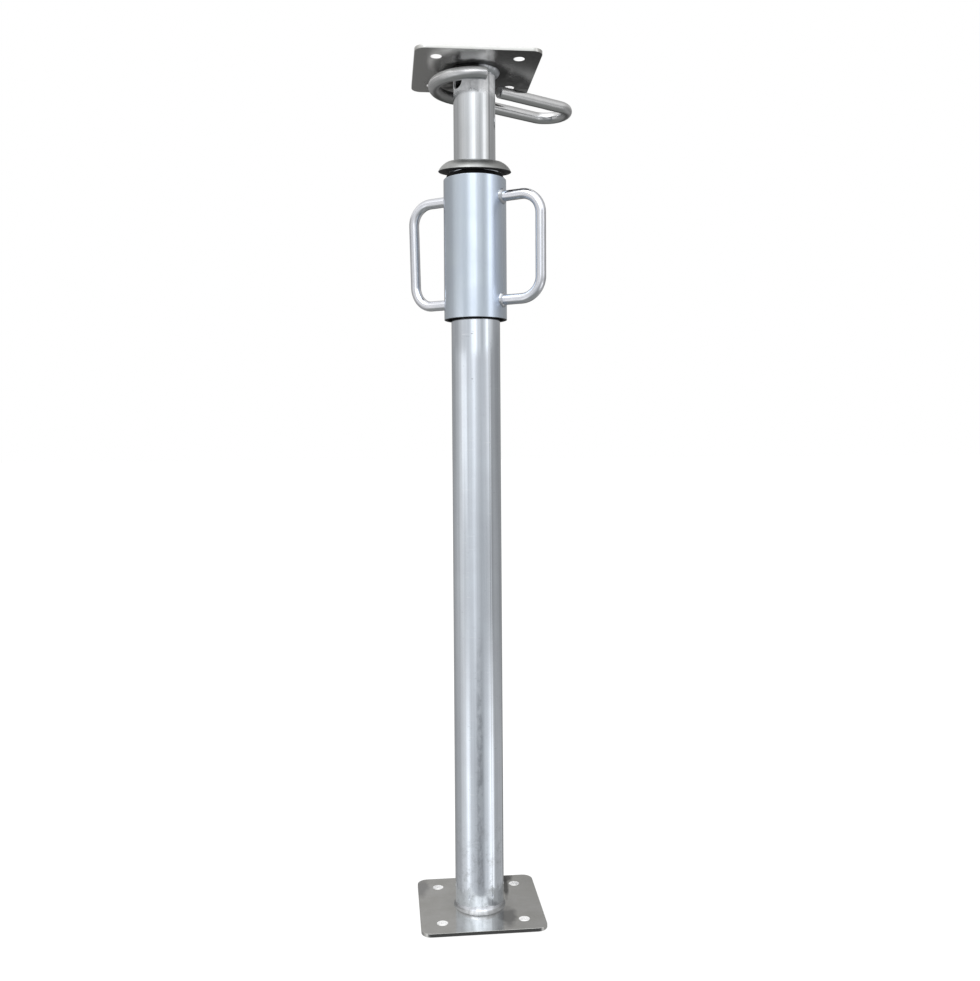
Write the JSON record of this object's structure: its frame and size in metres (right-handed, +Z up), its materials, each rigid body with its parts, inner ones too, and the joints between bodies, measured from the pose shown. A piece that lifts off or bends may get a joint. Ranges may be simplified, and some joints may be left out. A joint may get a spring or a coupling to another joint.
{
  "type": "adjustable steel prop",
  "caption": "Telescopic steel prop with drilled end plates, a handled sleeve nut over a covered thread, a thrust ring and a captive G pin.",
  "frame": {"origin": "centre of the base plate's underside", "axes": "+Z up along the prop's axis, towards the head plate; +X and +Y along the plates' sides"},
  "size_m": [0.204, 0.1862, 0.967],
  "materials": {
    "tube_zinc": "bright zinc plated drawn tube, fine lengthwise lines",
    "sleeve_zinc": "satin blue-white zinc with faint blotches",
    "plate_zinc": "satin zinc on rolled plate, slightly warm",
    "bar_zinc": "satin zinc on bent round bar, slightly lavender",
    "pin_zinc": "satin grey zinc on bent round bar",
    "ring_zinc": "dull grey zinc on pressed steel, dark underneath",
    "weld": "rippled weld metal under zinc"
  },
  "bodies": {
    "outer": {"base_plate": "plate_zinc", "base_weld": "weld", "outer_tube": "tube_zinc"},
    "inner": {"inner_tube": "tube_zinc", "head_plate": "plate_zinc", "head_weld": "weld"},
    "pin": {"g_pin": "pin_zinc"},
    "ring": {"thrust_ring": "ring_zinc"},
    "nut": {"sleeve": "sleeve_zinc", "nut_ring": "ring_zinc", "nut_weld": "weld", "handle_right": "bar_zinc", "handle_left": "bar_zinc", "weld_right_top": "weld", "weld_right_low": "weld", "weld_left_top": "weld", "weld_left_low": "weld"}
  },
  "joints": [
    {"name": "inner_slide", "type": "slide", "parent": "outer", "child": "inner", "axis": [0, 0, 1], "range_m": [0, 0.54]},
    {"name": "pin_slide", "type": "slide", "parent": "inner", "child": "pin", "axis": [-0.866, -0.5, 0], "range_m": [0, 0.072]},
    {"name": "ring_travel", "type": "slide", "parent": "outer", "child": "ring", "axis": [0, 0, 1], "range_m": [-0.1361, 0]},
    {"name": "nut_turn", "type": "hinge", "parent": "ring", "child": "nut", "pos_m": [0, 0, 0.76], "axis": [0, 0, 1], "range_deg": [-6120, 0]}
  ],
  "couplings": [
    {"joint": "ring_travel", "follows": "nut_turn", "m_per_rad": 0.0012732}
  ]
}
